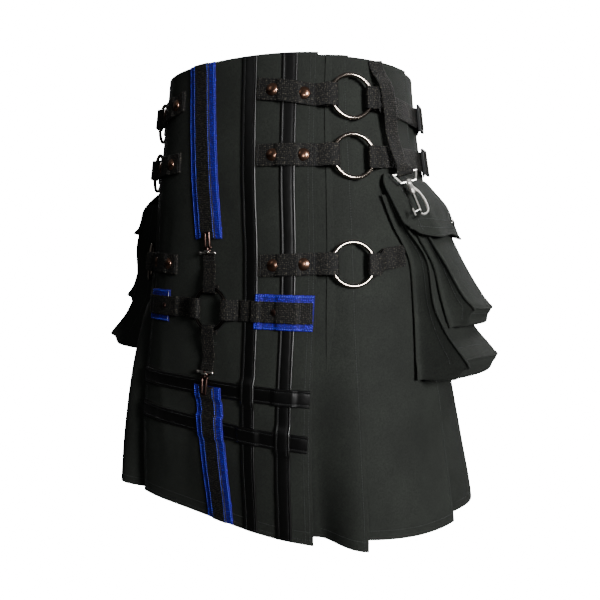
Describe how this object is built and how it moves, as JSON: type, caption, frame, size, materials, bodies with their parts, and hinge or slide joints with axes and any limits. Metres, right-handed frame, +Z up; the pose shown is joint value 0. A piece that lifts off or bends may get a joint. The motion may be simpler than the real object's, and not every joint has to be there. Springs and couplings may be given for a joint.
{
  "type": "kilt",
  "caption": "Utility kilt in dark denim, knife pleated, with strapped front apron, ringed side straps, blue webbing, leather bands and bellows pockets, held open as worn.",
  "frame": {"origin": "middle of the waist at its top edge, where the wearer holds the kilt up", "axes": "+X to the wearer's left, the front faces -Y, +Z up"},
  "size_m": [0.6331, 0.4024, 0.61],
  "materials": {
    "denim": "matt twill",
    "blue_webbing": "woven sheen",
    "black_webbing": "speckled weave",
    "leather": "glossy",
    "ring_nickel": "polished",
    "hook_nickel": "polished",
    "clasp_gunmetal": "satin",
    "slide_plastic": "satin"
  },
  "bodies": {
    "kilt": {"side_pleated_left": "denim", "side_pleated_right": "denim", "under_apron": "denim", "apron": "denim", "leather_upright_inner": "leather", "leather_upright_outer": "leather", "leather_crossbar_upper": "leather", "leather_crossbar_lower": "leather", "blue_webbing_upper": "blue_webbing", "black_webbing_upper": "black_webbing", "blue_webbing_lower": "blue_webbing", "black_webbing_lower": "black_webbing", "blue_patch_left": "blue_webbing", "blue_patch_right": "blue_webbing", "harness_ring": "ring_nickel", "harness_web_left": "black_webbing", "harness_web_right": "black_webbing", "harness_web_upper": "black_webbing", "harness_web_lower": "black_webbing", "clasp_upper": "clasp_gunmetal", "clasp_lower": "clasp_gunmetal", "strap_front_1_left": "black_webbing", "strap_front_1_right": "black_webbing", "ring_1_left": "ring_nickel", "ring_1_right": "ring_nickel", "strap_front_2_left": "black_webbing", "strap_front_2_right": "black_webbing", "ring_2_left": "ring_nickel", "ring_2_right": "ring_nickel", "strap_front_3_left": "black_webbing", "strap_front_3_right": "black_webbing", "ring_3_left": "ring_nickel", "ring_3_right": "ring_nickel", "strap_side_1_left": "black_webbing", "strap_side_1_right": "black_webbing", "slide_1_left": "slide_plastic", "slide_1_right": "slide_plastic", "strap_side_2_left": "black_webbing", "strap_side_2_right": "black_webbing", "slide_2_left": "slide_plastic", "slide_2_right": "slide_plastic", "strap_side_3_left": "black_webbing", "strap_side_3_right": "black_webbing", "hip_loop": "black_webbing", "pocket_big_left": "denim", "pocket_small_left": "denim", "pocket_flap_left": "denim", "pocket_big_right": "denim", "pocket_small_right": "denim", "pocket_flap_right": "denim"},
    "eye": {"snap_eye": "hook_nickel"},
    "hook": {"snap_hook": "hook_nickel"},
    "gate": {"snap_gate": "hook_nickel"}
  },
  "joints": [
    {"name": "eye_swing", "type": "hinge", "parent": "kilt", "child": "eye", "pos_m": [0.21752, -0.03809, -0.147], "axis": [0.5894, 0.7605, 0.2725], "range_deg": [-120, 0]},
    {"name": "hook_swivel", "type": "hinge", "parent": "eye", "child": "hook", "pos_m": [0.21752, -0.03809, -0.147], "axis": [-0.4485, 0.0275, 0.8934], "continuous": true},
    {"name": "gate_press", "type": "hinge", "parent": "hook", "child": "gate", "pos_m": [0.23125, -0.03893, -0.17434], "axis": [0.6719, -0.6488, 0.3573], "range_deg": [0, 12], "stiffness_Nm_per_rad": 0.05, "springref_deg": -8.59}
  ]
}
